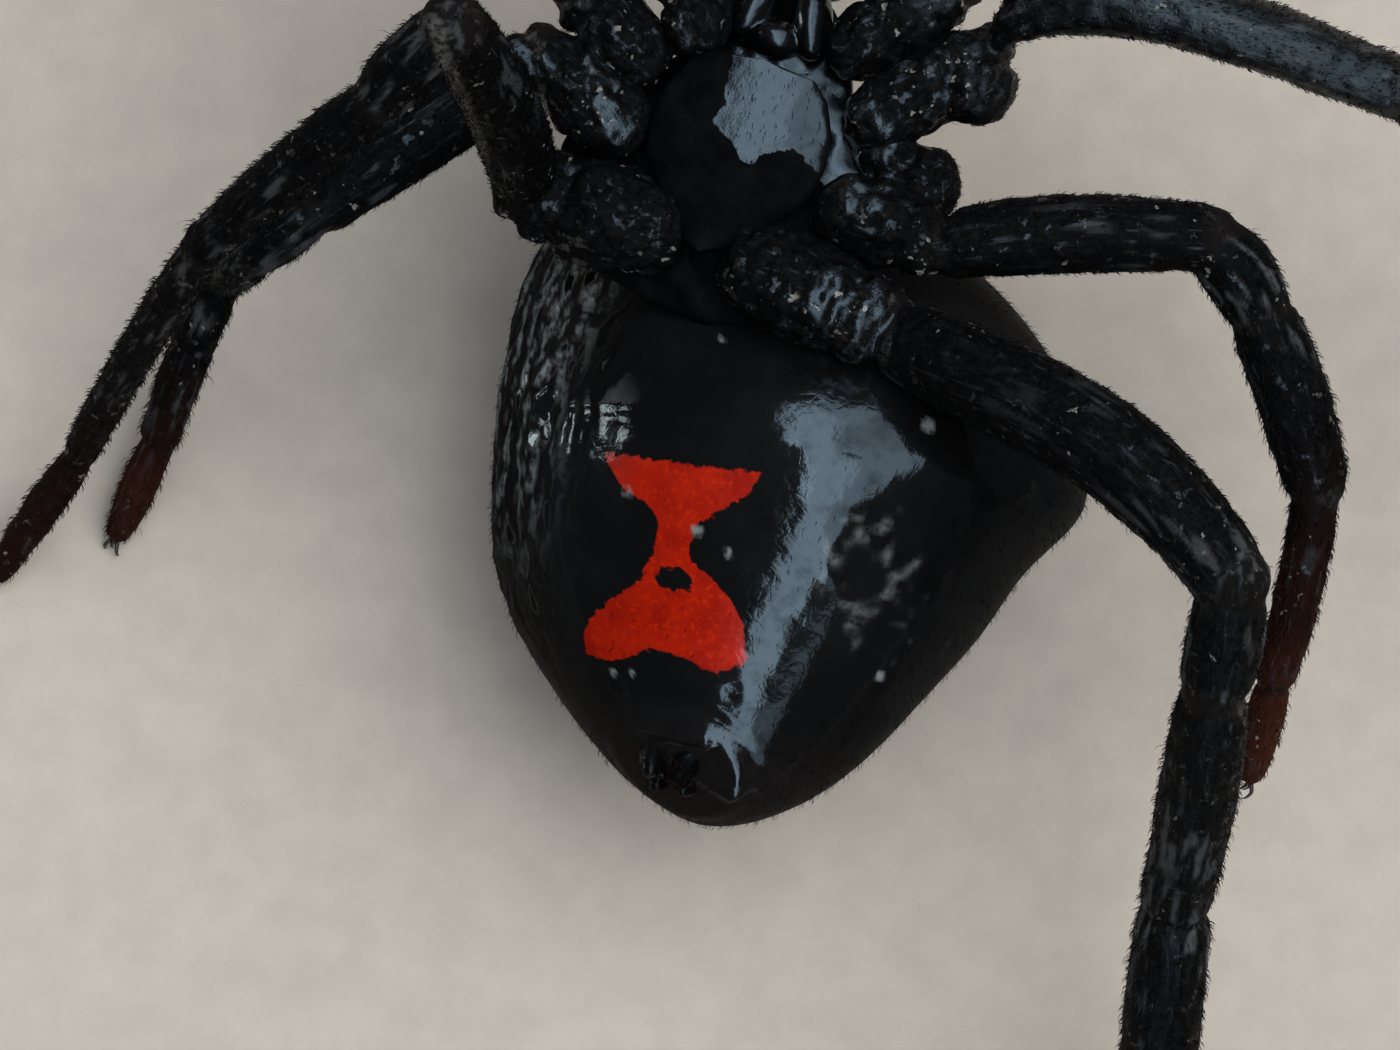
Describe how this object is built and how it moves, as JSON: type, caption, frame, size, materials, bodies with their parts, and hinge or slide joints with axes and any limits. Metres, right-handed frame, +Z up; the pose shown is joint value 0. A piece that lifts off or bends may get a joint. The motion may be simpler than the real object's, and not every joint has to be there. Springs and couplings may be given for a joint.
{
  "type": "black widow spider",
  "caption": "Life-size still model of an adult female black widow spider on her back, legs spread, with the red hourglass mark on her belly.",
  "frame": {"origin": "on the floor, below the middle of the spider's bounding box", "axes": "+Z up, the side that her belly faces; +Y towards her head end and along the longest reach of her legs; +X towards her left side"},
  "size_m": [0.027, 0.042, 0.0106],
  "materials": {
    "cuticle": "glossy blue-black cuticle with fine wrinkles and short bristles",
    "plates": "satin black plates with a fine grain",
    "leg_tip": "dark reddish-brown, finely bristled",
    "hourglass": "satin orange-red mark in the cuticle",
    "eye": "polished dark lens"
  },
  "bodies": {
    "root": {"abdomen": "cuticle", "hourglass": "hourglass", "spinnerets": "plates", "pedicel": "cuticle", "carapace": "cuticle", "sternum": "plates", "mouthparts": "plates", "chelicera_L": "cuticle", "chelicera_R": "cuticle", "pedipalp_L": "cuticle", "pedipalp_R": "cuticle", "eye_L_front_middle": "eye", "eye_L_front_outer": "eye", "eye_L_rear_middle": "eye", "eye_L_rear_outer": "eye", "eye_R_front_middle": "eye", "eye_R_front_outer": "eye", "eye_R_rear_middle": "eye", "eye_R_rear_outer": "eye", "leg_L1_coxa": "plates", "leg_L1_femur": "cuticle", "leg_L1_patella_tibia": "cuticle", "leg_L1_metatarsus": "cuticle", "leg_L1_tarsus": "leg_tip", "leg_L2_coxa": "plates", "leg_L2_femur": "cuticle", "leg_L2_patella_tibia": "cuticle", "leg_L2_metatarsus": "cuticle", "leg_L2_tarsus": "leg_tip", "leg_L3_coxa": "plates", "leg_L3_femur": "cuticle", "leg_L3_patella_tibia": "cuticle", "leg_L3_metatarsus": "cuticle", "leg_L3_tarsus": "leg_tip", "leg_L4_coxa": "plates", "leg_L4_femur": "cuticle", "leg_L4_patella_tibia": "cuticle", "leg_L4_metatarsus": "cuticle", "leg_L4_tarsus": "leg_tip", "leg_R1_coxa": "plates", "leg_R1_femur": "cuticle", "leg_R1_patella_tibia": "cuticle", "leg_R1_metatarsus": "cuticle", "leg_R1_tarsus": "leg_tip", "leg_R2_coxa": "plates", "leg_R2_femur": "cuticle", "leg_R2_patella_tibia": "cuticle", "leg_R2_metatarsus": "cuticle", "leg_R2_tarsus": "leg_tip", "leg_R3_coxa": "plates", "leg_R3_femur": "cuticle", "leg_R3_patella_tibia": "cuticle", "leg_R3_metatarsus": "cuticle", "leg_R3_tarsus": "leg_tip", "leg_R4_coxa": "plates", "leg_R4_femur": "cuticle", "leg_R4_patella_tibia": "cuticle", "leg_R4_metatarsus": "cuticle", "leg_R4_tarsus": "leg_tip"}
  },
  "joints": []
}
